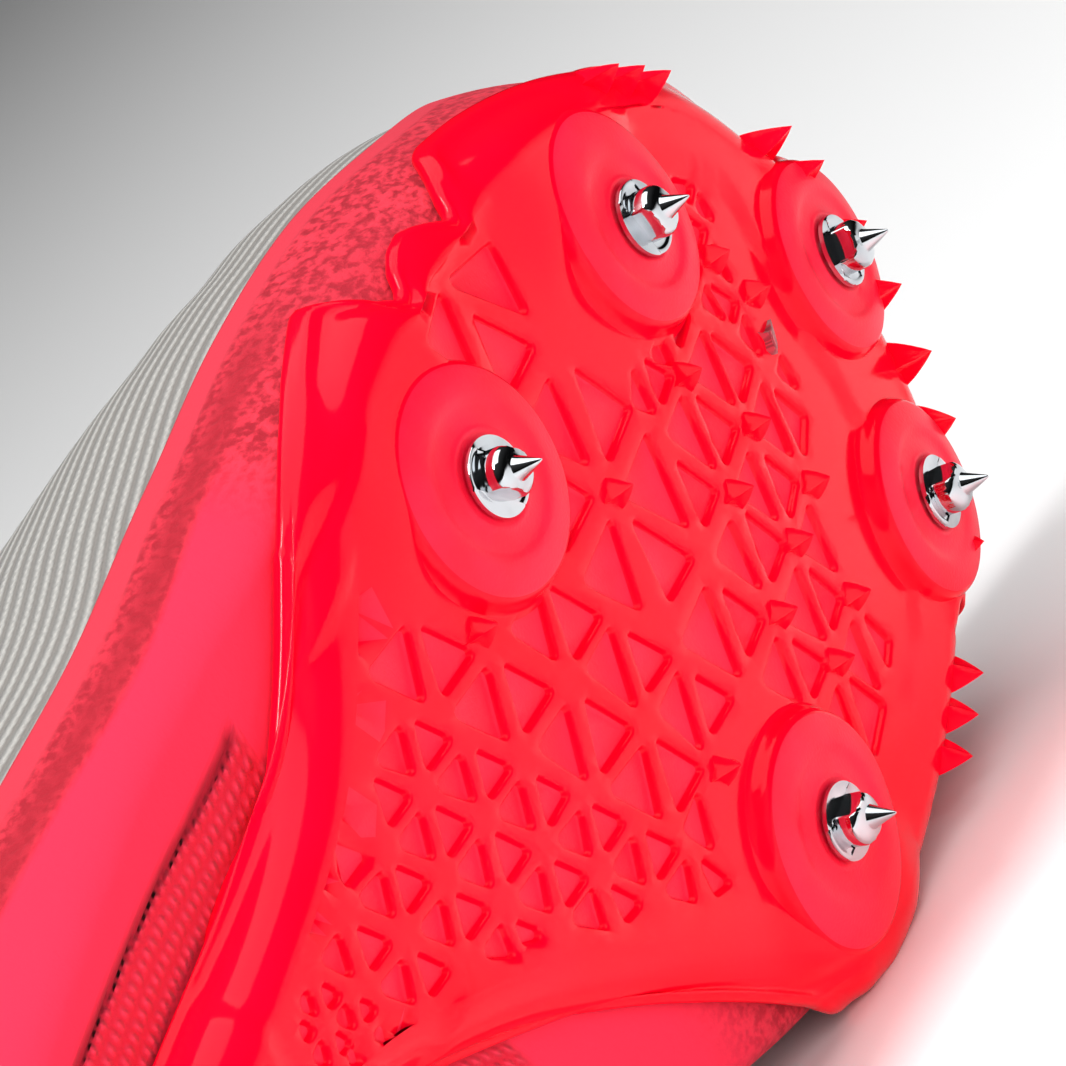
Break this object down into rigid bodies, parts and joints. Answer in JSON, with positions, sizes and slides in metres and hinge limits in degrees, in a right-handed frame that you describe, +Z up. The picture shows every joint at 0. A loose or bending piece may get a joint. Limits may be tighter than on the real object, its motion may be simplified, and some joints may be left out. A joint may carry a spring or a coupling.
{
  "type": "track spike shoe",
  "caption": "Right sprint spike shoe lying on its side: moulded plate with rim teeth, pads and screw-in spikes, thin knitted upper, suede guard, tongue, lace and foam heel wedge.",
  "frame": {"origin": "middle of the bounding box, on the floor that the shoe's medial side lies on", "axes": "+X to the toe, +Z up from the floor out of the shoe's lateral side, sole facing mostly -Y"},
  "size_m": [0.2876, 0.1114, 0.107],
  "materials": {
    "knit": "ribbed grey knit",
    "suede": "napped red synthetic suede",
    "plate": "gloss red moulding with matte pads",
    "foam": "smooth grey foam",
    "lining": "red woven lining",
    "lace": "flat orange weave",
    "steel": "bright plated steel"
  },
  "bodies": {
    "root": {"upper": "knit", "guard": "suede", "plate": "plate", "heel_wedge": "foam", "insole": "lining", "tongue": "knit", "lace": "lace", "spike_lateral_rear": "steel", "spike_medial_rear": "steel", "spike_lateral_front": "steel", "spike_medial_front": "steel", "spike_toe": "steel"}
  },
  "joints": []
}
